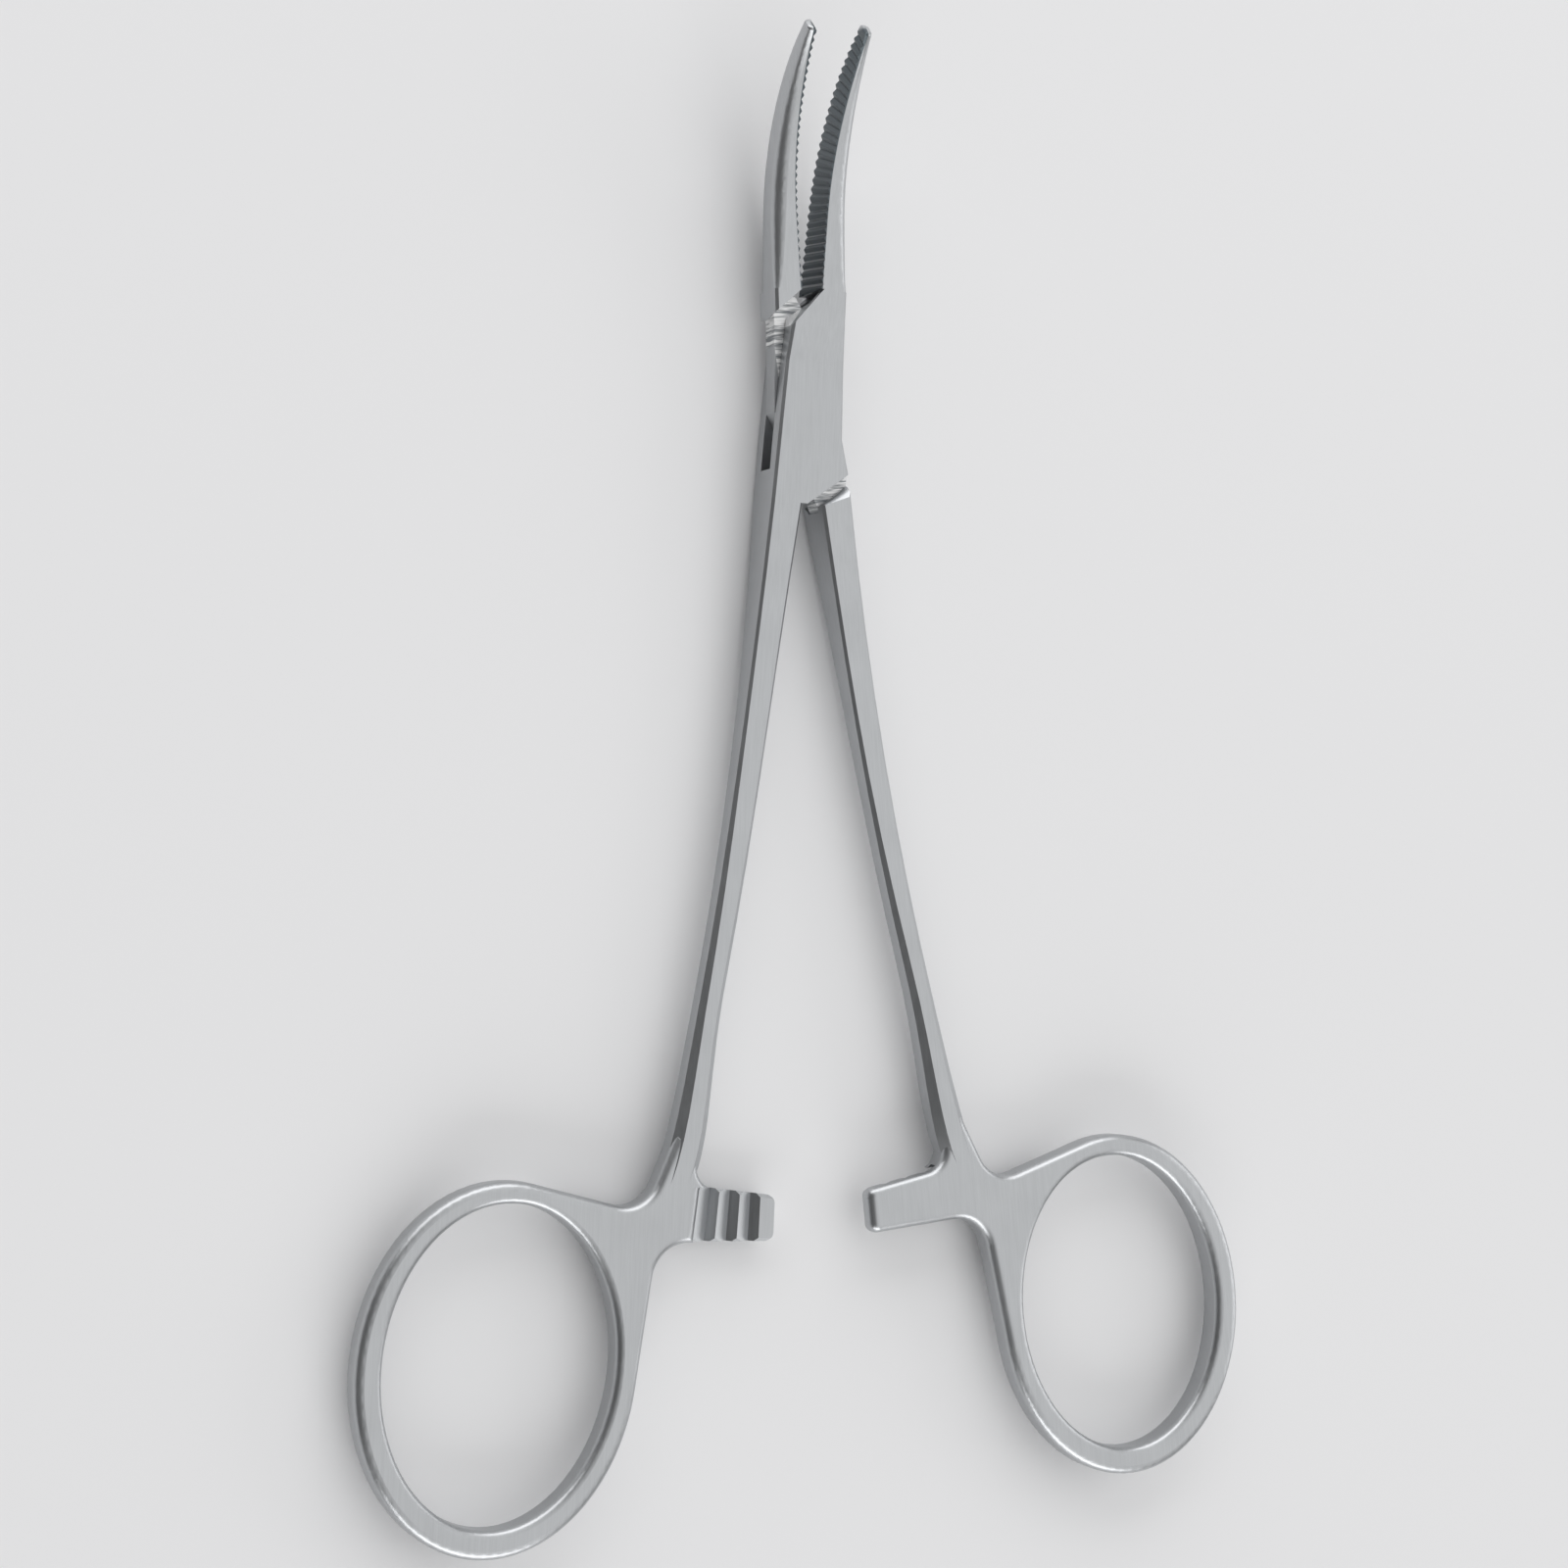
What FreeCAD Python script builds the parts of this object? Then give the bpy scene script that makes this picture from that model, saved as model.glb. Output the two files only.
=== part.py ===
import FreeCAD, Part

import math
import os

from FreeCAD import Placement, Rotation, Vector

# Curved hemostat forceps with a box lock, three forged or turned steel pieces:
# the box branch, the tongue branch that passes through its slot, and the riveted pin.
# Each branch is drawn closed, in its own frame: the pin axis is Z, the tips are at +Y,
# and Z is counted from the middle of the shanks. At the end each branch is swung open
# about the pin and lifted, so that the back of the lock lies at Z = 0.

DIMENSIONS = [
    ("half_opening", 4.3, "swing of each branch from closed, in degrees"),
    ("lock_depth", 4.2, "front to back at the pin"),
    ("lock_flat", 3.0, "flat of the lock above and below the pin"),
    ("lock_grind", 0.02, "ground off the lock's back, with the pin's end"),
    ("lock_edge", 0.22, "bevel along the edges of the lock"),
    ("lock_ring_side_low", 2.98, "lock flank above its own shank, at the shank root"),
    ("lock_ring_side_mid", 2.70, "same flank at the lower end of the flat"),
    ("lock_ring_side_top", 2.32, "same flank at the upper end of the flat"),
    ("lock_ring_side_end", 1.76, "same flank at the jaw root"),
    ("lock_jaw_side_low", 4.55, "lock flank below its own jaw, at the shank root"),
    ("lock_jaw_side_mid", 3.05, "same flank at the lower end of the flat"),
    ("lock_jaw_side_top", 2.88, "same flank at the upper end of the flat"),
    ("wall_top_face_reach", 5.20, "pin axis to the upper end of the walls, at their outer face"),
    ("wall_top_face_slant", 51.8, "slant of that edge to the X axis, in degrees"),
    ("wall_top_foot_reach", 6.45, "pin axis to the same end at the slot"),
    ("wall_top_foot_slant", 37.0, "slant of that edge to the X axis, in degrees"),
    ("wall_low_face_reach", 6.85, "pin axis to the lower end of the walls, at their outer face"),
    ("wall_low_face_slant", 37.4, "slant of that edge to the X axis, in degrees"),
    ("wall_low_foot_reach", 7.10, "pin axis to the same end at the slot"),
    ("wall_low_foot_slant", 35.0, "slant of that edge to the X axis, in degrees"),
    ("slot_width", 1.70, "slot between the two walls"),
    ("slot_slant", 47.0, "slant of the ends of the slot, in degrees"),
    ("slot_low_reach", 6.07, "pin axis to the lower end of the slot"),
    ("slot_top_reach", 6.40, "pin axis to the upper end of the slot"),
    ("slot_clearance", 0.05, "tongue to each wall"),
    ("pin_radius", 1.20, "riveted pin"),
    ("pin_clearance", 0.04, "pin to the bore of the tongue, radial"),
    ("tongue_jaw_side", 2.05, "tongue flank at its jaw shoulder"),
    ("tongue_jaw_corner", 6.40, "height of that corner above the pin"),
    ("tongue_belly_side", 2.76, "tongue flank below the pin"),
    ("tongue_belly_drop", 0.75, "drop of that corner below the pin"),
    ("tongue_far_side", 2.80, "far flank of the tongue above the pin"),
    ("tongue_far_rise", 3.20, "height of that corner above the pin"),
    ("tongue_heel_side", 3.18, "far flank of the tongue at the shank"),
    ("tongue_heel_drop", 6.60, "drop of that corner below the pin"),
    ("tongue_jaw_reach", 0.60, "reach of the tongue into the jaw"),
    ("tongue_shank_reach", 1.00, "reach of the tongue into the shank"),
    ("tongue_shank_inset", 0.30, "end of the tongue inside the shank's flanks"),
    ("jaw_shoulder_face_reach", 7.35, "pin axis to the shoulder under the jaw, at the outer face"),
    ("jaw_shoulder_face_slant", 35.5, "slant of that edge, in degrees"),
    ("jaw_shoulder_foot_reach", 6.90, "pin axis to the foot of that shoulder, on the tongue"),
    ("jaw_shoulder_foot_slant", 38.5, "slant of that foot, in degrees"),
    ("jaw_root_taper", 0.02, "widening of the tongue branch's jaw root for each mm towards the pin"),
    ("shank_shoulder_face_reach", 8.50, "pin axis to the shoulder over the shank, at the outer face"),
    ("shank_shoulder_face_slant", 14.4, "slant of that edge, in degrees"),
    ("shank_shoulder_foot_reach", 7.50, "pin axis to the foot of that shoulder, on the tongue"),
    ("shank_shoulder_foot_slant", 36.7, "slant of that foot, in degrees"),
    ("jaw_root", 9.0, "pin axis to the start of the jaw"),
    ("jaw_base_lift", 0.62, "centre of the jaw root in front of the middle plane"),
    ("jaw_rise_angle", 6.5, "slope of the straight part of the jaw, in degrees"),
    ("jaw_bend_start", 15.0, "pin axis to the start of the bend"),
    ("jaw_bend_radius", 21.5, "bend of the jaw's centre line"),
    ("jaw_bend_angle", 42.7, "turn of the bend, in degrees"),
    ("jaw_base_width", 2.56, "half of the closed pair at the jaw root"),
    ("jaw_bend_width", 2.20, "same at the start of the bend"),
    ("jaw_fore_width", 1.55, "same half way round the bend"),
    ("jaw_tip_width", 0.72, "same at the tip"),
    ("jaw_base_depth", 4.21, "front to back at the jaw root"),
    ("jaw_bend_depth", 3.53, "same at the start of the bend"),
    ("jaw_fore_depth", 2.80, "same half way round the bend"),
    ("jaw_tip_depth", 1.35, "same at the tip"),
    ("jaw_root_bevel", 1.20, "bevel of the lock's back that runs into the jaw's rounding"),
    ("jaw_base_turn", 0.40, "rounding of the front at the jaw root"),
    ("jaw_bend_turn", 0.95, "same at the start of the bend"),
    ("jaw_fore_turn", 0.80, "same half way round the bend"),
    ("jaw_tip_turn", 0.48, "same at the tip"),
    ("jaw_base_round", 2.00, "rounding of the back at the jaw root"),
    ("jaw_tip_round", 0.50, "rounding of the back at the tip"),
    ("jaw_nose", 0.24, "rounding of the jaw's end"),
    ("jaw_base_gap", 0.20, "closed jaw face to the middle, at the root"),
    ("jaw_tip_gap", 0.03, "closed jaw face to the middle, at the tip"),
    ("serration_pitch", 0.68, "one ridge to the next"),
    ("serration_depth", 0.18, "depth of the grooves between the ridges"),
    ("serration_land", 0.08, "flat on top of each ridge"),
    ("serration_start", 0.60, "first groove from the jaw root"),
    ("serration_end", 0.70, "plain end of the jaw"),
    ("shank_root_drop", 8.5, "pin axis to the top of the shank"),
    ("shank_root_stock", 2.0, "stock above it, from which the tongue branch's shoulder is cut"),
    ("shank_root_centre", 1.615, "middle of the shank to the middle of the pair"),
    ("shank_root_width", 2.73, "shank width there"),
    ("shank_root_depth", 3.90, "shank depth there"),
    ("shank_root_edge", 0.22, "bevel there"),
    ("shank_upper_drop", 20.0, "upper station"),
    ("shank_upper_centre", 2.485, "middle of the shank"),
    ("shank_upper_width", 2.29, "width"),
    ("shank_upper_depth", 2.62, "depth"),
    ("shank_upper_edge", 0.22, "bevel"),
    ("shank_waist_drop", 33.0, "thinnest station"),
    ("shank_waist_centre", 3.72, "middle of the shank"),
    ("shank_waist_width", 2.09, "width"),
    ("shank_waist_depth", 2.04, "depth"),
    ("shank_waist_edge", 0.29, "bevel"),
    ("shank_lower_drop", 45.0, "lower station"),
    ("shank_lower_centre", 5.25, "middle of the shank"),
    ("shank_lower_width", 1.97, "width"),
    ("shank_lower_depth", 2.15, "depth"),
    ("shank_lower_edge", 0.42, "bevel"),
    ("shank_flare_drop", 54.0, "flare above the neck"),
    ("shank_flare_centre", 6.48, "middle of the shank"),
    ("shank_flare_width", 2.22, "width"),
    ("shank_flare_depth", 2.50, "depth"),
    ("shank_flare_edge", 0.56, "bevel"),
    ("shank_neck_rise", 3.45, "neck above the arm's top edge"),
    ("shank_neck_centre", 7.50, "middle of the shank"),
    ("shank_neck_width", 2.88, "width"),
    ("shank_neck_depth", 2.80, "depth"),
    ("shank_neck_edge", 0.72, "bevel"),
    ("heel_depth", 0.15, "end of the shank inside the ring plate, below the arm's top edge"),
    ("heel_centre", 8.60, "middle of that end"),
    ("heel_inset", 0.10, "that end under the faces of the ring plate"),
    ("ring_depth", 2.60, "front to back of the ring and the ring plate"),
    ("ring_centre_across", 22.3, "middle of the pair to the ring's centre"),
    ("ring_centre_sink", 13.05, "arm's top edge to the ring's centre"),
    ("ring_hole_width", 19.1, "finger hole across"),
    ("ring_hole_length", 25.0, "finger hole along"),
    ("ring_hole_tilt", 3.1, "turn of the finger hole, in degrees"),
    ("ring_outer_width", 23.2, "outside of the ring across"),
    ("ring_outer_length", 28.95, "outside of the ring along"),
    ("ring_outer_shift", 0.13, "centre of the outside farther from the middle of the pair than the hole's"),
    ("ring_outer_sink", 0.28, "centre of the outside lower than the hole's"),
    ("ring_outer_tilt", 2.6, "turn of the outside of the ring, in degrees"),
    ("ring_rounding", 0.72, "rounding of the ring plate's outer edges"),
    ("hole_rounding", 0.60, "rounding of the finger hole's edges"),
    ("plate_neck_rise", 4.85, "top of the ring plate in the neck, above the arm's top edge"),
    ("plate_neck_inner", 1.0, "middle of the neck to the plate's inner side there"),
    ("plate_neck_outer", 0.95, "middle of the neck to the plate's outer side there"),
    ("plate_valley_across", 10.9, "corner between neck and ring, to the middle of the pair"),
    ("plate_valley_sink", 1.25, "that corner below the arm's top edge"),
    ("plate_valley_fillet", 2.8, "fillet from the neck to the ring"),
    ("plate_arm_fillet", 1.8, "fillet from the neck to the arm"),
    ("plate_low_across", 9.6, "corner between arm and ring, to the middle of the pair"),
    ("plate_low_fillet", 3.0, "fillet from the arm to the ring"),
    ("arm_top_drop", 64.55, "pin axis to the arm's top edge at its end"),
    ("arm_top_slope", 6.0, "slope of that edge, in degrees"),
    ("arm_width", 3.68, "top to bottom at the arm's end"),
    ("arm_corner", 0.75, "rounding of the arm's end"),
    ("arm_box_reach", 0.93, "reach of the box branch's arm past the middle"),
    ("arm_tongue_reach", 0.92, "reach of the tongue branch's arm past the middle"),
    ("arm_step", 6.15, "step behind the ratchet teeth to the middle"),
    ("arm_step_turn", 0.90, "rounding of that step"),
    ("tooth_count", 3, "ratchet teeth on each arm"),
    ("tooth_ramp", 1.22, "gentle side of a ratchet tooth"),
    ("tooth_back", 0.62, "steep side of a ratchet tooth"),
    ("tooth_height", 0.65, "height of a ratchet tooth"),
    ("tooth_end", 1.30, "plain end of the arm, to the first steep side"),
    ("tooth_bevel", 0.28, "bevel along the toothed face of the arm"),
    ("tooth_clearance", 0.10, "one arm's crests to the other's, closed"),
]

# Far is longer than any piece here, for tools that cut right through.
FAR = 150.0

# Stretches between the sections that the jaw's loft runs through.
JAW_STRETCHES = 8

doc = FreeCAD.newDocument("HemostatForceps")
sheet = doc.addObject("Spreadsheet::Sheet", "Dimensions")
for row, (alias, value, meaning) in enumerate(DIMENSIONS, start=1):
    sheet.set("A%d" % row, meaning)
    sheet.set("B%d" % row, str(value))
    sheet.setAlias("B%d" % row, alias)
doc.recompute()


def size(alias):
    """Value of one named cell of the sheet."""
    return float(sheet.get(alias))


def feature(name, shape):
    """A document object with a shape made by a function below."""
    made = doc.addObject("Part::Feature", name)
    made.Shape = shape
    return made


def bound(kind, name, **expressions):
    """A primitive whose properties follow cells of the sheet."""
    made = doc.addObject(kind, name)
    for prop, expression in expressions.items():
        made.setExpression(prop, expression)
    return made


def joined(kind, name, pieces):
    """A fuse or common of several document objects."""
    made = doc.addObject(kind, name)
    made.Shapes = pieces
    return made


def less(name, base, tool):
    """One document object cut by another."""
    made = doc.addObject("Part::Cut", name)
    made.Base = base
    made.Tool = tool
    return made


def sided(shape, side):
    """The shape as drawn for side 1, or its mirror image for side -1."""
    if side > 0:
        return shape
    return shape.mirror(Vector(0, 0, 0), Vector(1, 0, 0))


def closed_wire(points):
    """Straight edges through the points and back to the first."""
    return Part.makePolygon(points + points[:1])


def prism(points, low, high):
    """Upright prism over a plan outline of (x, y) points."""
    base = Part.Face(closed_wire([Vector(x, y, low) for x, y in points]))
    return base.extrude(Vector(0, 0, high - low))


def bevelled_section(y, inner, outer, back, front, edge, back_edge=None):
    """Upright eight-sided section across a forging; back_edge is its outer bevel at the back."""
    back_edge = edge if back_edge is None else back_edge
    outline = [
        (outer - edge, front), (outer, front - edge), (outer, back + back_edge), (outer - back_edge, back),
        (inner + edge, back), (inner, back + edge), (inner, front - edge), (inner + edge, front),
    ]
    return closed_wire([Vector(x, y, z) for x, z in outline])


def beyond(shoulder, outward):
    """Everything beyond a shoulder that runs from its foot at the slot to its edge at the outer face.

    The plan line turns and moves between the two, alike on the front and the back; outward is
    the direction in degrees of a shoulder without slant, seen from the pin.
    """
    foot, face = size("slot_width") / 2, size("shank_root_depth") / 2
    sections = []
    for place, z in (
        ("face", -FAR), ("face", -face), ("foot", -foot), ("foot", foot), ("face", face), ("face", FAR)
    ):
        reach = size("%s_%s_reach" % (shoulder, place))
        turn = Rotation(Vector(0, 0, 1), outward + size("%s_%s_slant" % (shoulder, place)))
        outline = [(reach, -FAR), (reach + FAR, -FAR), (reach + FAR, FAR), (reach, FAR)]
        sections.append(closed_wire([turn.multVec(Vector(x, y, z)) for x, y in outline]))
    return Part.makeLoft(sections, True, True)


# Shank: one smooth forging through named stations, square to the pin's plane.

def shank():
    """Shank of a branch whose ring lies towards +X."""
    sections = []
    for station in ("root", "upper", "waist", "lower", "flare", "neck"):
        if station == "neck":
            y = size("shank_neck_rise") - size("arm_top_drop")
        else:
            y = -size("shank_%s_drop" % station)
        centre = size("shank_%s_centre" % station)
        half_width = size("shank_%s_width" % station) / 2
        half_depth = size("shank_%s_depth" % station) / 2
        sections.append(bevelled_section(
            y, centre - half_width, centre + half_width,
            -half_depth, half_depth, size("shank_%s_edge" % station)))
    half_width = size("shank_neck_width") / 2
    half_depth = size("ring_depth") / 2 - size("heel_inset")
    sections.append(bevelled_section(
        -size("arm_top_drop") - size("heel_depth"),
        size("heel_centre") - half_width, size("heel_centre") + half_width,
        -half_depth, half_depth, size("shank_neck_edge")))
    return Part.makeLoft(sections, True, False)


# Ring plate: the finger ring and the ratchet arm, forged flat with rounded rims.

def ring_ellipse(kind):
    """Centre and half axes, as vectors, of the ring's hole or outside."""
    centre = Vector(size("ring_centre_across"), -size("arm_top_drop") - size("ring_centre_sink"), 0)
    if kind == "outer":
        centre = centre + Vector(size("ring_outer_shift"), -size("ring_outer_sink"), 0)
    tilt = Rotation(Vector(0, 0, 1), size("ring_%s_tilt" % kind))
    across = tilt.multVec(Vector(-size("ring_%s_width" % kind) / 2, 0, 0))
    along = tilt.multVec(Vector(0, size("ring_%s_length" % kind) / 2, 0))
    return centre, across, along


def ring_disc(kind, depth):
    """Elliptical disc with the outline of the ring's hole or outside."""
    centre, across, along = ring_ellipse(kind)
    centre = centre - Vector(0, 0, depth / 2)
    ellipse = Part.Ellipse(centre + along, centre + across, centre)
    return Part.Face(Part.Wire(ellipse.toShape())).extrude(Vector(0, 0, depth))


def ring_tangent(x, y, turn):
    """Where a line from (x, y) touches the outside of the ring; turn picks one of the two points."""
    centre, across, along = ring_ellipse("outer")
    away = Vector(x, y, 0) - centre
    share_across = away.dot(across) / across.dot(across)
    share_along = away.dot(along) / along.dot(along)
    angle = math.atan2(share_along, share_across) + turn * math.acos(1 / math.hypot(share_across, share_along))
    touch = centre + across * math.cos(angle) + along * math.sin(angle)
    return touch.x, touch.y


def upright_edges_near(shape, places):
    """The upright edge nearest to each (x, y) place."""
    upright = [
        edge for edge in shape.Edges
        if len(edge.Vertexes) == 2
        and (edge.Vertexes[0].Point - edge.Vertexes[1].Point).cross(Vector(0, 0, 1)).Length < 1e-6
    ]
    found = []
    for x, y in places:
        found.append(min(upright, key=lambda edge: math.hypot(
            edge.Vertexes[0].X - x, edge.Vertexes[0].Y - y)))
    return found


def rim_edges(shape, heights):
    """Edges that lie in one of the level planes at the given heights."""
    return [
        edge for edge in shape.Edges
        if any(abs(edge.BoundBox.ZMin - z) + abs(edge.BoundBox.ZMax - z) < 1e-4 for z in heights)
    ]


def arm_top(x, arm_reach):
    """Height of the arm's top edge at one place along the arm."""
    return -size("arm_top_drop") + (x + arm_reach) * math.tan(math.radians(size("arm_top_slope")))


def ring_plate(arm_reach):
    """Ring, plate and arm of a branch whose ring lies towards +X."""
    depth = size("ring_depth")
    neck_inner = size("shank_neck_centre") - size("plate_neck_inner")
    neck_outer = size("shank_neck_centre") + size("plate_neck_outer")
    neck_top = size("plate_neck_rise") - size("arm_top_drop")
    arm_low = -size("arm_top_drop") - size("arm_width")
    neck_to_arm = (neck_inner, arm_top(neck_inner, arm_reach))
    neck_to_ring = (size("plate_valley_across"), -size("arm_top_drop") - size("plate_valley_sink"))
    arm_to_ring = (size("plate_low_across"), arm_low)
    plate = [
        (neck_inner, neck_top), (neck_outer, neck_top),
        neck_to_ring, ring_tangent(*neck_to_ring, 1),
        (size("ring_centre_across"), -size("arm_top_drop") - size("ring_centre_sink")),
        ring_tangent(*arm_to_ring, -1), arm_to_ring, (neck_inner, arm_low),
    ]
    arm = [
        (-arm_reach, arm_low), (neck_outer, arm_low),
        (neck_outer, arm_top(neck_outer, arm_reach)), (-arm_reach, -size("arm_top_drop")),
    ]
    blank = ring_disc("outer", depth)
    blank = blank.multiFuse([prism(outline, -depth / 2, depth / 2) for outline in (plate, arm)])
    blank = blank.removeSplitter()
    for radius, places in (
        (size("plate_valley_fillet"), [neck_to_ring]),
        (size("plate_arm_fillet"), [neck_to_arm]),
        (size("plate_low_fillet"), [arm_to_ring]),
        (size("arm_corner"), [(-arm_reach, -size("arm_top_drop")), (-arm_reach, arm_low)]),
    ):
        blank = blank.makeFillet(radius, upright_edges_near(blank, places))
    blank = blank.makeFillet(size("ring_rounding"), rim_edges(blank, (-depth / 2, depth / 2)))
    blank = blank.cut(ring_disc("hole", 2 * depth))
    hole_rims = [edge for edge in rim_edges(blank, (-depth / 2, depth / 2)) if edge.isClosed()]
    return blank.makeFillet(size("hole_rounding"), hole_rims)


def tooth_profile(arm_reach):
    """Points (x, z) of the toothed face of an arm, from beyond its end to the step."""
    crest = -size("tooth_clearance") / 2
    root = crest - size("tooth_height")
    profile = [(-arm_reach - size("arm_width"), crest)]
    for tooth in range(int(size("tooth_count"))):
        start = -arm_reach + size("tooth_end") + tooth * (size("tooth_back") + size("tooth_ramp"))
        profile.append((start, crest))
        profile.append((start + size("tooth_back"), root))
    profile.append((start + size("tooth_back") + size("tooth_ramp"), crest))
    profile.append((size("arm_step"), crest))
    return profile


def tooth_relief(arm_reach):
    """What is taken off the front of an arm that lies towards +X, to leave its ratchet teeth.

    The teeth run along lines through the pin's axis, and the step behind them is rounded.
    """
    front = size("ring_depth") / 2
    turn = size("arm_step_turn")
    part_turn = turn * (1 - math.sqrt(0.5))
    profile = tooth_profile(arm_reach)
    sections = []
    for y in (-size("arm_top_drop") - 2 * size("arm_width"), arm_top(size("arm_step"), arm_reach)):
        fan = -y / size("arm_top_drop")
        corners = [Vector(x * fan, y, z) for x, z in profile]
        step = corners[-1].x
        foot, head = Vector(step, y, front - turn), Vector(step + turn, y, front)
        arc = Part.Arc(foot, Vector(step + part_turn, y, front - part_turn), head)
        over = [head, Vector(head.x, y, FAR), Vector(corners[0].x, y, FAR), corners[0]]
        edges = Part.makePolygon(corners + [foot]).Edges + [arc.toShape()] + Part.makePolygon(over).Edges
        sections.append(Part.Wire(edges))
    return Part.makeLoft(sections, True, True)


def tooth_bevels(arm_reach):
    """Bars that bevel the two long edges of the toothed face of an arm."""
    bevel = size("tooth_bevel")
    crest = -size("tooth_clearance") / 2
    start = -arm_reach - size("arm_width")
    run = size("arm_step") - start
    arm_low = -size("arm_top_drop") - size("arm_width")
    bars = []
    for edge_y, inward, end_y in (
        (arm_low, 1, arm_low),
        (arm_top(start, arm_reach), -1, arm_top(size("arm_step"), arm_reach)),
    ):
        outside = Vector(start, edge_y - inward * bevel, crest - 2 * bevel)
        inside = Vector(start, edge_y + inward * 2 * bevel, crest + bevel)
        above = Vector(start, edge_y - inward * bevel, crest + bevel)
        bars.append(Part.Face(closed_wire([outside, inside, above])).extrude(Vector(run, end_y - edge_y, 0)))
    return bars


def handle(arm_reach, teeth_face):
    """Shank, ring and ratchet arm; the teeth face the front for 1 and the back for -1."""
    reliefs = [tooth_relief(arm_reach)] + tooth_bevels(arm_reach)
    if teeth_face < 0:
        reliefs = [relief.mirror(Vector(0, 0, 0), Vector(0, 0, 1)) for relief in reliefs]
    return ring_plate(arm_reach).cut(reliefs).fuse(shank())


# Jaw: a bent, tapering half beam, rounded along the outer edges of its front and its back.

def jaw_straight():
    """Length of the straight part of the jaw's centre line."""
    return (size("jaw_bend_start") - size("jaw_root")) / math.cos(math.radians(size("jaw_rise_angle")))


def jaw_length():
    """Length of the jaw along its centre line."""
    return jaw_straight() + size("jaw_bend_radius") * math.radians(size("jaw_bend_angle"))


def jaw_point(along):
    """Point of the centre line and its slope: a straight rise, then an arc."""
    slope = math.radians(size("jaw_rise_angle"))
    run = min(along, jaw_straight())
    point = Vector(0, size("jaw_root") + run * math.cos(slope), size("jaw_base_lift") + run * math.sin(slope))
    if along <= run:
        return point, slope
    radius = size("jaw_bend_radius")
    turned = slope + (along - run) / radius
    bend = Vector(0, math.sin(turned) - math.sin(slope), math.cos(slope) - math.cos(turned))
    return point + bend * radius, turned


def jaw_size(kind, along):
    """Cubic through the four named values of the jaw's width, depth or front rounding."""
    straight = jaw_straight()
    places = (0.0, straight, (straight + jaw_length()) / 2, jaw_length())
    total = 0.0
    for here, station in zip(places, ("base", "bend", "fore", "tip")):
        weight = 1.0
        for other in places:
            if other != here:
                weight *= (along - other) / (here - other)
        total += weight * size("jaw_%s_%s" % (station, kind))
    return total


def jaw_section(along):
    """Section across the jaw, drawn past the middle of the pair on its inner side."""
    point, slope = jaw_point(along)
    if along == 0.0:
        slope = 0.0
    up = Vector(0, -math.sin(slope), math.cos(slope))
    share = along / jaw_length()
    front_turn = jaw_size("turn", along)
    back_turn = size("jaw_base_round") + share * (size("jaw_tip_round") - size("jaw_base_round"))
    outer = jaw_size("width", along)
    half = jaw_size("depth", along) / 2
    inner = -outer

    def at(across, height):
        return point + Vector(across, 0, 0) + up * height

    def rounded(turn, side):
        """Corner between the outer flank and the front, or the back for side -1."""
        part_turn = turn * (1 - math.sqrt(0.5))
        return Part.Arc(
            at(outer - turn, side * half),
            at(outer - part_turn, side * (half - part_turn)),
            at(outer, side * (half - turn))).toShape()

    return Part.Wire([
        Part.makeLine(at(inner, half), at(outer - front_turn, half)),
        rounded(front_turn, 1),
        Part.makeLine(at(outer, half - front_turn), at(outer, back_turn - half)),
        rounded(back_turn, -1),
        Part.makeLine(at(outer - back_turn, -half), at(inner, -half)),
        Part.makeLine(at(inner, -half), at(inner, half)),
    ])


def jaw_face_gap(y):
    """Closed jaw face to the middle of the pair: the tips meet first."""
    tip = jaw_point(jaw_length())[0].y
    share = (tip - y) / (tip - size("jaw_root"))
    return size("jaw_tip_gap") + share * (size("jaw_base_gap") - size("jaw_tip_gap"))


def jaw_face_trim():
    """Upright block that takes off everything inside the jaw's inner face."""
    tip = jaw_point(jaw_length())[0].y
    lean = math.degrees(math.atan2(size("jaw_base_gap") - size("jaw_tip_gap"), tip - size("jaw_root")))
    block = Part.makeBox(FAR, 2 * FAR, 2 * FAR, Vector(-FAR, -FAR, -FAR))
    block.rotate(Vector(0, 0, 0), Vector(0, 0, 1), lean)
    block.translate(Vector(size("jaw_tip_gap"), tip, 0))
    return block


def serration(along):
    """One V groove across the inner face of the jaw."""
    point, slope = jaw_point(along)
    forward = Vector(0, math.cos(slope), math.sin(slope))
    up = Vector(0, -math.sin(slope), math.cos(slope))
    depth = size("serration_depth")
    flare = size("serration_pitch") - size("serration_land")
    reach = up * size("jaw_base_depth")
    face_x = jaw_face_gap(point.y)
    bottom = point + Vector(face_x + depth, 0, 0) - reach
    mouth = point + Vector(face_x - depth, 0, 0) - reach
    wire = closed_wire([bottom, mouth + forward * flare, mouth - forward * flare])
    return Part.Face(wire).extrude(reach * 2)


def jaw(phase):
    """Jaw of a branch whose jaw lies towards +X; phase shifts the serrations by a share of a pitch."""
    places = [jaw_length() * step / JAW_STRETCHES for step in range(JAW_STRETCHES + 1)]
    beam = Part.makeLoft([jaw_section(along) for along in places], True, False)
    blank = beam.cut(jaw_face_trim()).Solids[0]
    end_face = max(blank.Faces, key=lambda face: face.CenterOfMass.y + face.CenterOfMass.z)
    blank = blank.makeFillet(size("jaw_nose"), end_face.Edges)
    pitch = size("serration_pitch")
    first = size("serration_start") + phase * pitch
    count = int((jaw_length() - size("serration_end") - first) / pitch) + 1
    return blank.cut([serration(first + groove * pitch) for groove in range(count)])


# Lock blank: the flat of the lock between two short slopes, for a jaw towards +X.

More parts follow.
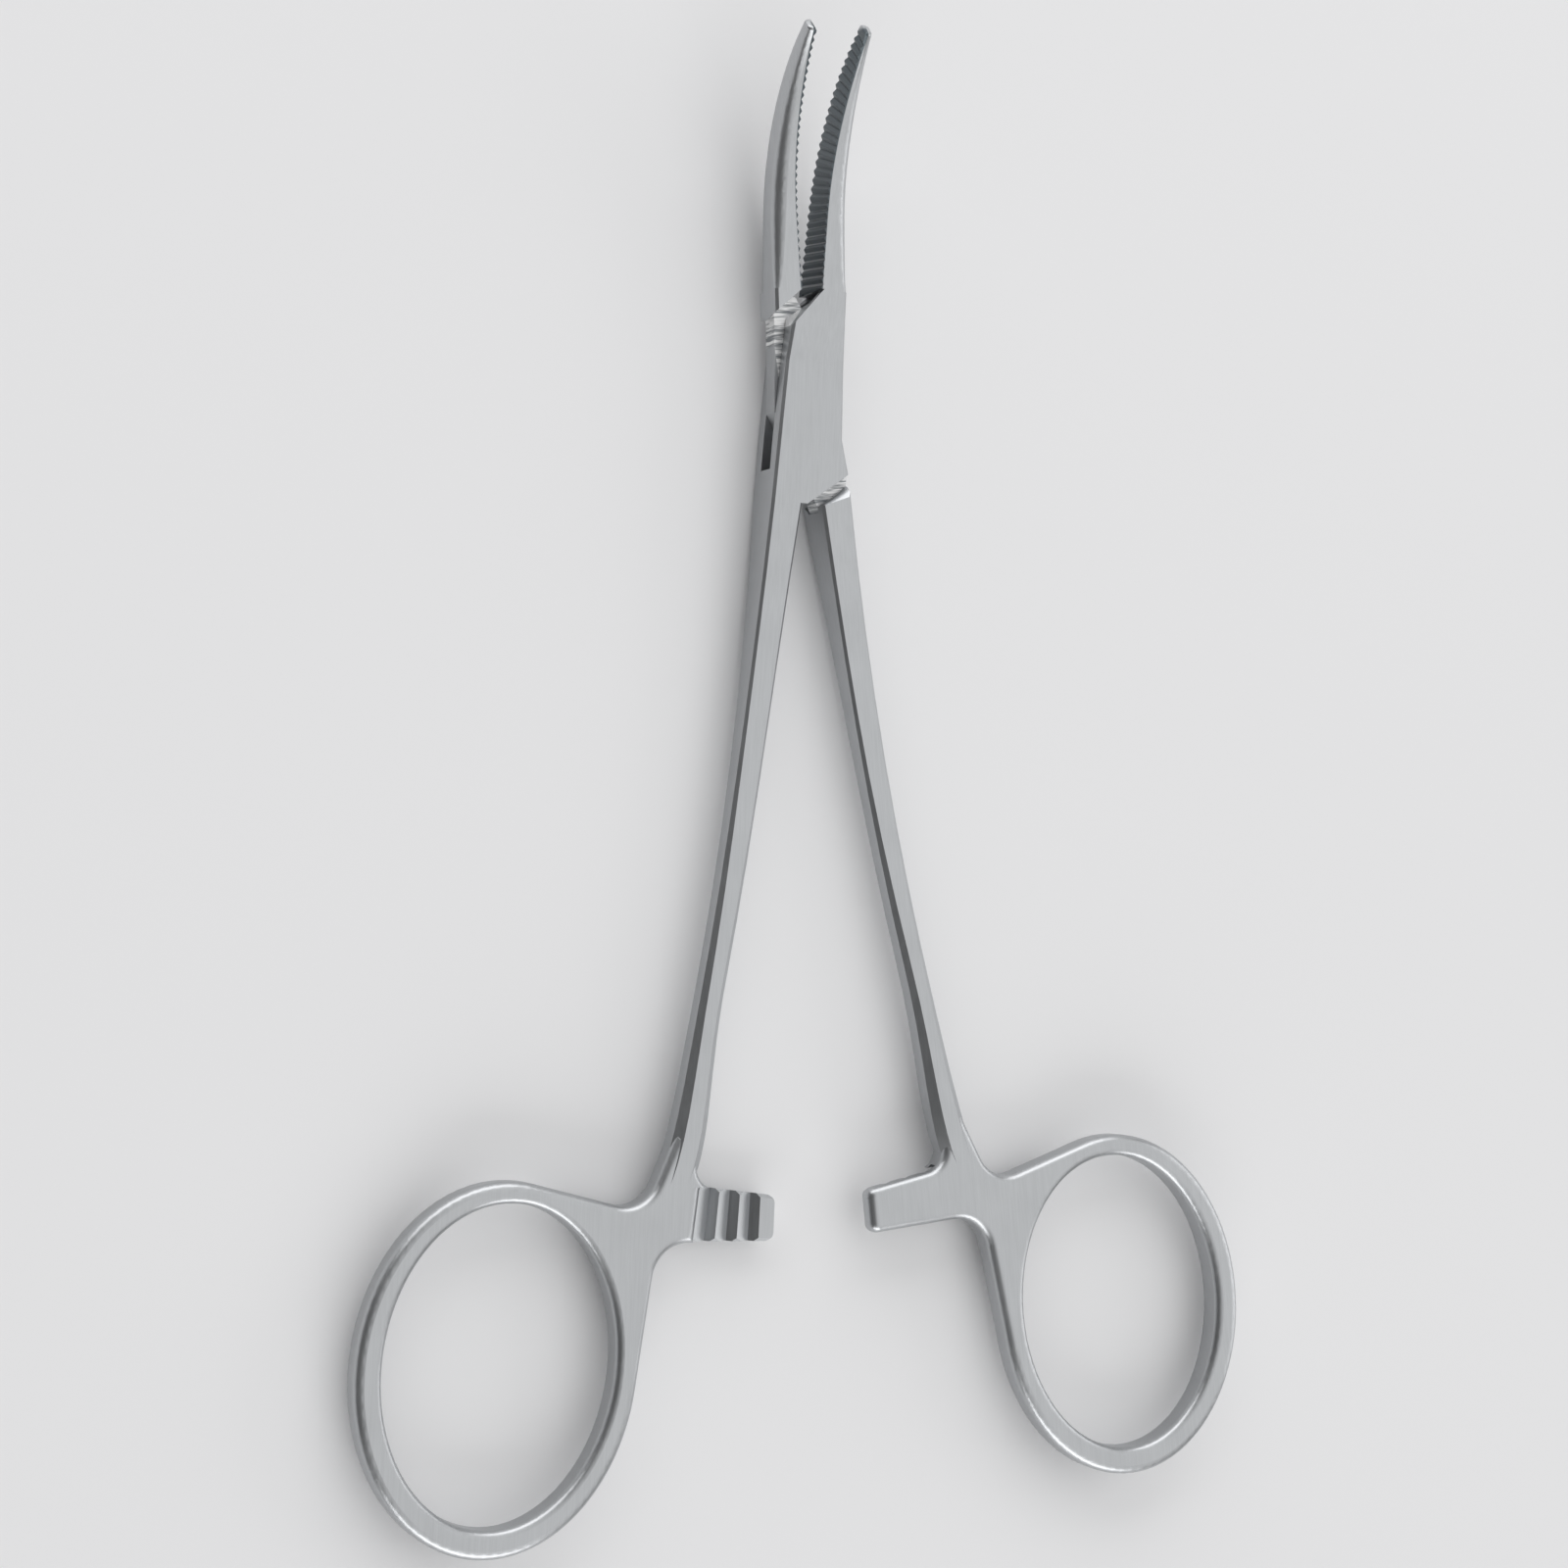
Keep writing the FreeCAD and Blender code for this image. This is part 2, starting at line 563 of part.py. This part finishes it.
def lock_faces(y):
    """Unground back and front of the lock at one height: flat at the pin, leaning to shank and jaw."""
    flat = size("lock_flat")
    half = size("lock_depth") / 2
    unground = half + size("lock_grind")
    if y < -flat:
        share = (-flat - y) / (size("shank_root_drop") - flat)
        end_back, end_front = -size("shank_root_depth") / 2, size("shank_root_depth") / 2
    else:
        share = max(0.0, (y - flat) / (size("jaw_root") - flat))
        end_back = size("jaw_base_lift") - size("jaw_base_depth") / 2
        end_front = size("jaw_base_lift") + size("jaw_base_depth") / 2
    return -unground + share * (end_back + unground), half + share * (end_front - half)


def lock_blank():
    """Solid lock of the box branch, before the slot, with slanted wall ends."""
    flat = size("lock_flat")
    heights = (-size("shank_root_drop"), -flat, flat, size("jaw_root"))
    ring_side = [size("lock_ring_side_%s" % place) for place in ("low", "mid", "top", "end")]
    jaw_side = [size("lock_jaw_side_%s" % place) for place in ("low", "mid", "top")] + [size("jaw_base_width")]
    back_edges = [size("lock_edge")] * 3 + [size("jaw_root_bevel")]
    sections = []
    for y, left, right, back_edge in zip(heights, ring_side, jaw_side, back_edges):
        back, front = lock_faces(y)
        sections.append(bevelled_section(y, -left, right, back, front, size("lock_edge"), back_edge))
    blank = Part.makeLoft(sections, True, True)
    blank = blank.cut(Part.makeBox(2 * FAR, 2 * FAR, FAR, Vector(-FAR, -FAR, -size("lock_depth") / 2 - FAR)))
    return blank.cut(beyond("wall_top", 90)).cut(beyond("wall_low", -90))


# Tongue: the flat middle of the tongue branch, with the roots of its jaw and shank.

def tongue():
    """Tongue that fills the slot, for a jaw towards -X and a ring towards +X."""
    half = size("slot_width") / 2 - size("slot_clearance")
    top = size("jaw_root") + size("tongue_jaw_reach")
    low = -size("shank_root_drop") - size("tongue_shank_reach")
    shank_in = size("shank_root_centre") - size("shank_root_width") / 2
    shank_out = size("shank_root_centre") + size("shank_root_width") / 2
    outline = [
        (-size("tongue_jaw_side"), size("tongue_jaw_corner")), (-size("tongue_jaw_side"), top),
        (-size("jaw_base_gap"), top), (-size("jaw_base_gap"), size("jaw_root")),
        (size("tongue_far_side"), size("tongue_far_rise")),
        (size("tongue_heel_side"), -size("tongue_heel_drop")),
        (shank_out - size("tongue_shank_inset"), low),
        (shank_in + size("tongue_shank_inset"), low),
        (shank_in, -size("shank_root_drop")),
        (-size("tongue_belly_side"), -size("tongue_belly_drop")),
    ]
    return prism(outline, -half, half)


def jaw_root_block():
    """Full-depth root of the tongue branch's jaw, above its shoulder."""
    sections = []
    for y in (size("lock_flat"), size("jaw_root")):
        back, front = lock_faces(y)
        outer = size("jaw_base_width") + size("jaw_root_taper") * (size("jaw_root") - y)
        sections.append(bevelled_section(
            y, -outer, outer, back, front, size("lock_edge"), size("jaw_root_bevel")))
    block = Part.makeLoft(sections, True, True)
    return sided(block.cut(jaw_face_trim()), -1).common(beyond("jaw_shoulder", 90))


def shank_root_block():
    """Full-depth root of the tongue branch's shank, below its shoulder."""
    centre = size("shank_root_centre")
    half_width = size("shank_root_width") / 2
    half_depth = size("shank_root_depth") / 2
    wire = bevelled_section(
        -size("shank_root_drop"), centre - half_width, centre + half_width,
        -half_depth, half_depth, size("shank_root_edge"))
    return Part.Face(wire).extrude(Vector(0, size("shank_root_stock"), 0))


# Pieces: each branch is fused from its forged stretches and then cut.

blank = feature("LockBlank", lock_blank())
pin_stock = bound("Part::Cylinder", "PinStock", Radius="Dimensions.pin_radius", Height="2 * Dimensions.lock_depth")
pin_stock.setExpression("Placement.Base.z", "-Dimensions.lock_depth")
pin_bore = bound(
    "Part::Cylinder", "PinBore",
    Radius="Dimensions.pin_radius + Dimensions.pin_clearance", Height="2 * Dimensions.lock_depth")
pin_bore.setExpression("Placement.Base.z", "-Dimensions.lock_depth")

slot = bound(
    "Part::Box", "Slot",
    Length="Dimensions.slot_low_reach + Dimensions.slot_top_reach",
    Width="2 * (Dimensions.jaw_root + Dimensions.shank_root_drop)",
    Height="Dimensions.slot_width")
across_slot = Rotation(Vector(0, 0, 1), 90 - size("slot_slant"))
corner = Vector(-size("slot_low_reach"), -size("jaw_root") - size("shank_root_drop"), -size("slot_width") / 2)
slot.Placement = Placement(across_slot.multVec(corner), across_slot)

box_forging = joined("Part::MultiFuse", "BoxForging", [
    blank,
    feature("BoxHandle", sided(handle(size("arm_box_reach"), 1), -1)),
    feature("BoxJaw", jaw(0.0)),
])
slotted = less("SlottedForging", box_forging, slot)
box_branch = less("BoxBranch", slotted, pin_stock)

pin = joined("Part::MultiCommon", "Pin", [pin_stock, blank])

root_handle = handle(size("arm_tongue_reach"), -1).fuse(shank_root_block())
root_handle = root_handle.common(beyond("shank_shoulder", -90))
tongue_forging = joined("Part::MultiFuse", "TongueForging", [
    feature("Tongue", tongue()),
    feature("TongueHandle", root_handle),
    feature("TongueJawRoot", jaw_root_block()),
    feature("TongueJaw", sided(jaw(0.5), -1)),
])
tongue_branch = less("TongueBranch", tongue_forging, pin_bore)

lift = Vector(0, 0, size("lock_depth") / 2)
for piece, name, swing in (
    (box_branch, "box_branch", -size("half_opening")),
    (tongue_branch, "tongue_branch", size("half_opening")),
    (pin, "pivot_pin", -size("half_opening")),
):
    piece.Label = name
    piece.Placement = Placement(lift, Rotation(Vector(0, 0, 1), swing))
doc.recompute()

pieces = [box_branch, tongue_branch, pin]
for made in doc.Objects:
    if "Invalid" in made.State or "Error" in made.State:
        raise RuntimeError("%s did not compute" % made.Name)
for piece in pieces:
    if piece.Shape.isNull() or not piece.Shape.isValid() or len(piece.Shape.Solids) != 1:
        raise RuntimeError("%s is not one sound solid" % piece.Label)

os.makedirs("parts", exist_ok=True)
for piece in pieces:
    piece.Shape.exportStep("parts/%s.step" % piece.Label)
    box = piece.Shape.optimalBoundingBox()
    print("%s: %.1f mm3, X %.2f to %.2f, Y %.2f to %.2f, Z %.2f to %.2f" % (
        piece.Label, piece.Shape.Volume, box.XMin, box.XMax, box.YMin, box.YMax, box.ZMin, box.ZMax))
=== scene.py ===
import math

import bpy
import numpy as np
from mathutils import Matrix, Vector

# Curved hemostat forceps of satin stainless steel, lying on its back on a pale bench.
# Each section below is one piece of the instrument, in the order in which it is put together.
# Lengths are in metres, and the pin's axis is the Z axis.

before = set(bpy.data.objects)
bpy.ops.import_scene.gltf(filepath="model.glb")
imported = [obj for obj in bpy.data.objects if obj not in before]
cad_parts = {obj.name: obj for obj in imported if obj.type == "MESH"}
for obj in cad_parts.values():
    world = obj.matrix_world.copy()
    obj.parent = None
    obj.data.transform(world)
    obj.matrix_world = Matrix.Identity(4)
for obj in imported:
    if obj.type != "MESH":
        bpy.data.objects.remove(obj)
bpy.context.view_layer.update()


# Box branch: ring, shank, slotted lock, jaw and ratchet arm in one drop forging of martensitic
# stainless steel. It is hardened, belt-polished lengthwise and brushed to a dull satin, so that
# flat faces look mid grey with a fine grain, and only rounded edges catch the light.

def linear(code):
    """Linear RGBA of an sRGB hex colour."""
    parts = np.array([int(code[i:i + 2], 16) for i in (1, 3, 5)]) / 255
    low = parts / 12.92
    high = ((parts + 0.055) / 1.055) ** 2.4
    return (*np.where(parts <= 0.04045, low, high), 1.0)


def fill(tree, socket, value):
    """Give an input a value, or a link from another node's output."""
    if isinstance(value, bpy.types.NodeSocket):
        tree.links.new(value, socket)
    else:
        socket.default_value = value


def add_node(tree, kind, inputs=(), **settings):
    """A node with its settings, and its inputs as values or as links from other nodes' outputs."""
    made = tree.nodes.new(kind)
    for name, value in settings.items():
        setattr(made, name, value)
    for name, value in dict(inputs).items():
        fill(tree, made.inputs[name], value)
    return made


def turned_place(tree, swing):
    """Object coordinates, turned about the pin's axis by some degrees."""
    place = add_node(tree, "ShaderNodeTexCoord")
    turned = add_node(tree, "ShaderNodeMapping", {
        "Vector": place.outputs["Object"], "Rotation": (0, 0, math.radians(swing))})
    return turned.outputs["Vector"]


def satin_steel(name, swing):
    """Belt-polished steel: dull, with a grain of fine lines along the branch.

    The real lines are a few hundredths of a millimetre wide, too fine to show in a picture of the
    whole instrument, so the grain is drawn with lines 0.12 mm wide and 4 mm long, with blotches of
    4 mm. The swing turns the pattern into the branch's own direction.
    """
    line_width, line_length, line_depth = 0.00012, 0.004, 0.00002
    blotch_size, blotch_share = 0.004, 0.35
    faint, strong = 0.3, 0.7
    colour, colour_swing = linear("#b8babc"), 0.07
    roughness, roughness_swing = 0.36, 0.03
    material = bpy.data.materials.new(name)
    material.use_nodes = True
    tree = material.node_tree
    shader = tree.nodes["Principled BSDF"]
    shader.inputs["Metallic"].default_value = 1.0
    stretched = add_node(tree, "ShaderNodeMapping", {
        "Vector": turned_place(tree, swing),
        "Scale": (1 / line_width, 1 / line_length, 1 / line_width)})
    lines = add_node(tree, "ShaderNodeTexNoise", {
        "Vector": stretched.outputs["Vector"], "Scale": 1.0, "Detail": 3.0, "Roughness": 0.6})
    blotches = add_node(tree, "ShaderNodeTexNoise", {
        "Vector": add_node(tree, "ShaderNodeTexCoord").outputs["Object"],
        "Scale": 1 / blotch_size, "Detail": 2.0, "Roughness": 0.5})
    grain = add_node(tree, "ShaderNodeMix", {
        "Factor": blotch_share, "A": lines.outputs["Fac"], "B": blotches.outputs["Fac"]})
    tint = add_node(tree, "ShaderNodeValToRGB", {"Fac": grain.outputs["Result"]})
    for end, at, sign in zip(tint.color_ramp.elements, (faint, strong), (-1, 1)):
        end.position = at
        end.color = (*(np.array(colour[:3]) * (1 + sign * colour_swing)), 1.0)
    fill(tree, shader.inputs["Base Color"], tint.outputs["Color"])
    rough = add_node(tree, "ShaderNodeMapRange", {
        "Value": grain.outputs["Result"], "From Min": faint, "From Max": strong,
        "To Min": roughness - roughness_swing, "To Max": roughness + roughness_swing})
    fill(tree, shader.inputs["Roughness"], rough.outputs["Result"])
    relief = add_node(tree, "ShaderNodeBump", {
        "Height": lines.outputs["Fac"], "Strength": 0.12, "Distance": line_depth})
    fill(tree, shader.inputs["Normal"], relief.outputs["Normal"])
    return material


def product(tree, *factors):
    """Product of several masks."""
    total = factors[0]
    for factor in factors[1:]:
        step = add_node(tree, "ShaderNodeMath", {0: total, 1: factor}, operation="MULTIPLY")
        total = step.outputs["Value"]
    return total


def inside(tree, swing, limits):
    """1 inside a box, falling to 0 around it, on axes turned about the pin by some degrees.

    The limits give, for each axis that has them, the low end, the high end and the width of the
    soft edge outside them.
    """
    axes = add_node(tree, "ShaderNodeSeparateXYZ", {"Vector": turned_place(tree, swing)})
    ramps = [
        add_node(tree, "ShaderNodeMapRange", {
            "Value": axes.outputs[axis], "From Min": outer, "From Max": inner})
        for axis, (low, high, soft) in limits.items()
        for outer, inner in ((low - soft, low), (high + soft, high))]
    return product(tree, *(ramp.outputs["Result"] for ramp in ramps))


def patch(steel, mask, colour, metallic):
    """Give the part of a steel surface under a mask another colour and sheen."""
    tree = steel.node_tree
    shader = tree.nodes["Principled BSDF"]
    for name, kind, new in (("Base Color", "RGBA", colour), ("Metallic", "FLOAT", metallic)):
        target = shader.inputs[name]
        old = target.links[0].from_socket if target.is_linked else target.default_value
        mix = add_node(tree, "ShaderNodeMix", data_type=kind)
        slots = {socket.name: socket for socket in mix.inputs if socket.enabled}
        for slot, value in (("Factor", mask), ("A", old), ("B", new)):
            fill(tree, slots[slot], value)
        fill(tree, target, next(socket for socket in mix.outputs if socket.enabled))


def milled_jaw_face_painted_shade(steel, swing, side):
    """Serrated jaw face of a branch, left as milled and dull, with painted shade: a dark grey that
    stands in for the dim surroundings the face reflects.
    """
    serration_depth, jaw_root, jaw_tip = 0.0003, 0.0090, 0.0288
    soft_across, soft_along = 0.00004, 0.0003
    mask = inside(steel.node_tree, swing, {
        "X": (*sorted((0.0, side * serration_depth)), soft_across),
        "Y": (jaw_root, jaw_tip, soft_along)})
    # Painted shade: the dark grey stands in for the dim surroundings that the serrated face
    # reflects.
    patch(steel, mask, linear("#5a6165"), metallic=0.9)


def made_of(name, steel):
    """The frame's node of a piece, with one steel on all of it."""
    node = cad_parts[name]
    node.data.materials.clear()
    node.data.materials.append(steel)
    return node


half_opening = 4.3    # degrees
box_steel = satin_steel("satin_box_branch_steel", half_opening)
# Painted shade on the box branch's serrated jaw face.
milled_jaw_face_painted_shade(box_steel, half_opening, 1)

# The slanted upper ends of the lock's walls, ground after the slot is cut, get a painted
# highlight: near-white colour with little metal sheen, standing in for the light these facets
# catch. The first mask is a thin layer along the slant, and the second keeps it to the upper half
# of the lock.
wall_end_slant = -51.8    # degrees
highlight_layer, upper_lock = (0.00522, 0.0070, 0.00002), (0.0010, 0.0086, 0.0001)
box_tree = box_steel.node_tree
painted_highlight_ends = product(
    box_tree, inside(box_tree, half_opening + wall_end_slant, {"Y": highlight_layer}),
    inside(box_tree, half_opening, {"Y": upper_lock}))
# Painted highlight: near-white on the slanted wall ends.
patch(box_steel, painted_highlight_ends, linear("#ffffff"), metallic=0.15)

box_branch = made_of("box_branch", box_steel)


# Tongue branch: the same forging without the slot, with a thin tongue that passes through the
# other branch's lock. Same steel and finish, brushed along its own shank.

tongue_steel = satin_steel("satin_tongue_branch_steel", -half_opening)
# Painted shade on the tongue branch's serrated jaw face.
milled_jaw_face_painted_shade(tongue_steel, -half_opening, -1)

# The tongue's faces keep the strokes of the milling cutter, which run across the branch, 0.24 mm
# apart. The stroke pattern is real, but its near-white shine is a painted highlight over the whole
# cut face. The noise turn only picks which strokes show, because it comes after the scale.
tongue_tree = tongue_steel.node_tree
stroke_length, stroke_gap, noise_turn = 1 / 350, 1 / 4200, -35
across = add_node(tongue_tree, "ShaderNodeMapping", {
    "Vector": turned_place(tongue_tree, -half_opening),
    "Rotation": (0, 0, math.radians(noise_turn)),
    "Scale": (1 / stroke_length, 1 / stroke_gap, 1 / stroke_length)})
strokes = add_node(tongue_tree, "ShaderNodeTexNoise", {
    "Vector": across.outputs["Vector"], "Scale": 1.0, "Detail": 2.0, "Roughness": 0.7})
stroke_and_highlight_tint = add_node(tongue_tree, "ShaderNodeValToRGB", {"Fac": strokes.outputs["Fac"]})
shade, shine = stroke_and_highlight_tint.color_ramp.elements
shade.position, shine.position = 0.38, 0.56
shade.color, shine.color = linear("#85898c"), linear("#fafafa")
mask_lean = -2.2    # degrees
tongue_thick, tongue_wide = (0.00125, 0.00295, 0.00005), (-0.00203, 0.00288, 0.00003)
tongue_long = (-0.0088, 0.0090, 0.0002)
cut_faces = inside(
    tongue_tree, -half_opening + mask_lean,
    {"Z": tongue_thick, "X": tongue_wide, "Y": tongue_long})
# Painted highlight: the near-white strokes on the tongue's cut faces.
patch(tongue_steel, cut_faces, stroke_and_highlight_tint.outputs["Color"], metallic=0.5)

tongue_branch = made_of("tongue_branch", tongue_steel)


# Pivot pin: a steel rivet, peened into both walls of the lock and ground flush with them,
# so that it hardly shows.

pivot_pin = made_of("pivot_pin", satin_steel("satin_pin_steel", half_opening))


# Bench: a plain pale sheet under the instrument, painted matt. The pale room round it is dimmer
# to the left and near the floor, so that the instrument's left flanks turn dark grey.

bench_reach, bench_top = 3.0, -0.0001
bench_mesh = bpy.data.meshes.new("bench")
corners = (-1, -1), (1, -1), (1, 1), (-1, 1)
bench_mesh.from_pydata(
    [(x * bench_reach, y * bench_reach, bench_top) for x, y in corners], [], [(0, 1, 2, 3)])
bench = bpy.data.objects.new("bench", bench_mesh)
bpy.context.scene.collection.objects.link(bench)
bench_paint = bpy.data.materials.new("matt_pale_bench")
bench_paint.use_nodes = True
bench_shader = bench_paint.node_tree.nodes["Principled BSDF"]
bench_shader.inputs["Base Color"].default_value = linear("#ececed")
bench_shader.inputs["Roughness"].default_value = 0.8
bench_mesh.materials.append(bench_paint)

room = bpy.data.worlds.new("pale_room")
room.use_nodes = True
walls = room.node_tree
toward = add_node(walls, "ShaderNodeTexCoord")
direction = add_node(walls, "ShaderNodeSeparateXYZ", {"Vector": toward.outputs["Generated"]})
brightening = [
    add_node(walls, "ShaderNodeMapRange", {
        "Value": direction.outputs[axis], "From Min": dim, "From Max": full},
        interpolation_type="SMOOTHSTEP")
    for axis, dim, full in (("X", -0.60, 0.25), ("Z", 0.0, 0.80))]
dim_strength, full_strength = 0.12, 0.98
level = add_node(walls, "ShaderNodeMapRange", {
    "Value": product(walls, *(step.outputs["Result"] for step in brightening)),
    "To Min": dim_strength, "To Max": full_strength})
room_light = walls.nodes["Background"]
fill(walls, room_light.inputs["Strength"], level.outputs["Result"])
fill(walls, room_light.inputs["Color"], linear("#ffffff"))
bpy.context.scene.world = room


# Softboxes: a wide one beyond the tips, one below the rings and a weak one on the right, all low,
# so that they show as bright lines on the rounded edges and leave the flat faces grey.

def softbox(name, place, width, height, power):
    """A rectangular lamp that faces the middle of the forceps."""
    forceps_middle = Vector((0.0, -0.03, 0.0))
    lamp = bpy.data.lights.new(name, "AREA")
    lamp.shape = "RECTANGLE"
    lamp.size, lamp.size_y = width, height
    lamp.energy = power
    made = bpy.data.objects.new(name, lamp)
    facing = (forceps_middle - Vector(place)).to_track_quat("-Z", "Y")
    made.matrix_world = Matrix.Translation(place) @ facing.to_matrix().to_4x4()
    bpy.context.scene.collection.objects.link(made)


softbox("softbox_beyond_tips", (-0.05, 0.55, 0.24), width=1.0, height=0.42, power=2.6)
softbox("softbox_below_rings", (-0.05, -0.75, 0.26), width=0.9, height=0.36, power=2.8)
softbox("softbox_right", (0.60, 0.0, 0.16), width=0.6, height=0.25, power=0.7)


# Camera: 240 mm in front of the instrument and 26 degrees to its left, as in the photograph. It
# sees the aim, a point between the shanks, 2 mm to the right of its middle.

roll, tip_down, to_left = 1.355, -1.021, 25.829
aim = Vector((0.0, -0.0312, 0.0021))
aim_from_camera = Vector((0.002033, 0.000001, -0.240))
lens = bpy.data.cameras.new("camera")
lens.lens, lens.sensor_width = 67.5, 36.0
lens.clip_start, lens.clip_end = 0.01, 20.0
camera = bpy.data.objects.new("camera", lens)
back_turn = (
    Matrix.Rotation(math.radians(roll), 3, "Z")
    @ Matrix.Rotation(math.radians(tip_down), 3, "X")
    @ Matrix.Rotation(math.radians(to_left), 3, "Y")).transposed()
camera.matrix_world = Matrix.Translation(aim - back_turn @ aim_from_camera) @ back_turn.to_4x4()
bpy.context.scene.collection.objects.link(camera)
bpy.context.scene.camera = camera

bpy.context.scene.view_settings.view_transform = "Standard"
